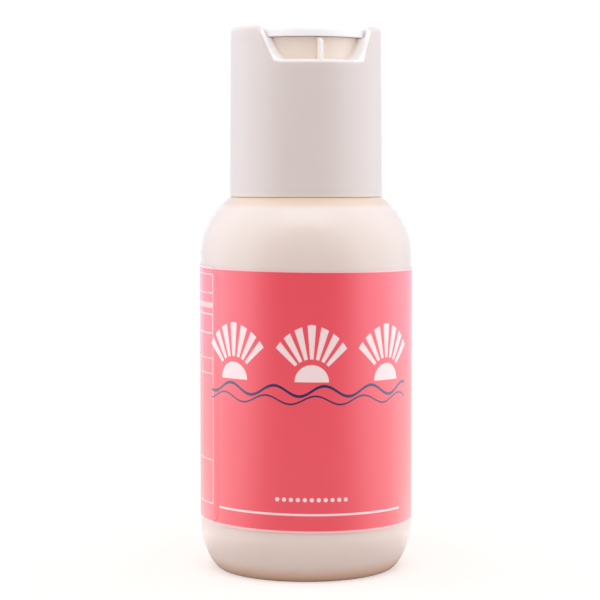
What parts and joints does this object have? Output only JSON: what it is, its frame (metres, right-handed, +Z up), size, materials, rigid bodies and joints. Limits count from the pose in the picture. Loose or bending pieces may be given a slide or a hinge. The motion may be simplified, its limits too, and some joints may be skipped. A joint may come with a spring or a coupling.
{
  "type": "disc-top bottle",
  "caption": "Small round squeeze bottle with a wrap label and a screw-on closure whose flush disc tilts to open a spout.",
  "frame": {"origin": "centre of the flat ring under the base, on the surface that the bottle stands on", "axes": "+Z up along the bottle's axis, -Y out of the front of the closure, where the spout opens"},
  "size_m": [0.0318, 0.0318, 0.0804],
  "materials": {
    "bottle_plastic": "blow-moulded natural polyethylene, satin",
    "label_film": "printed coral film with a satin varnish",
    "liner_foam": "closed-cell foam, matt",
    "closure_plastic": "injection-moulded white polypropylene, smooth"
  },
  "bodies": {
    "bottle": {"bottle": "bottle_plastic", "label": "label_film"},
    "liner": {"liner": "liner_foam"},
    "closure": {"closure": "closure_plastic"},
    "disc": {"disc": "closure_plastic"}
  },
  "joints": [
    {"name": "liner_rise", "type": "slide", "parent": "bottle", "child": "liner", "axis": [0, 0, 1], "range_m": [0, 0.0048]},
    {"name": "closure_unscrew", "type": "hinge", "parent": "liner", "child": "closure", "pos_m": [0, 0, 0.0698], "axis": [0, 0, 1], "range_deg": [0, 540]},
    {"name": "disc_tilt", "type": "hinge", "parent": "closure", "child": "disc", "pos_m": [0, 0, 0.0784], "axis": [-1, 0, 0], "range_deg": [0, 28]}
  ],
  "couplings": [
    {"joint": "liner_rise", "follows": "closure_unscrew", "m_per_rad": 0.00050532}
  ]
}
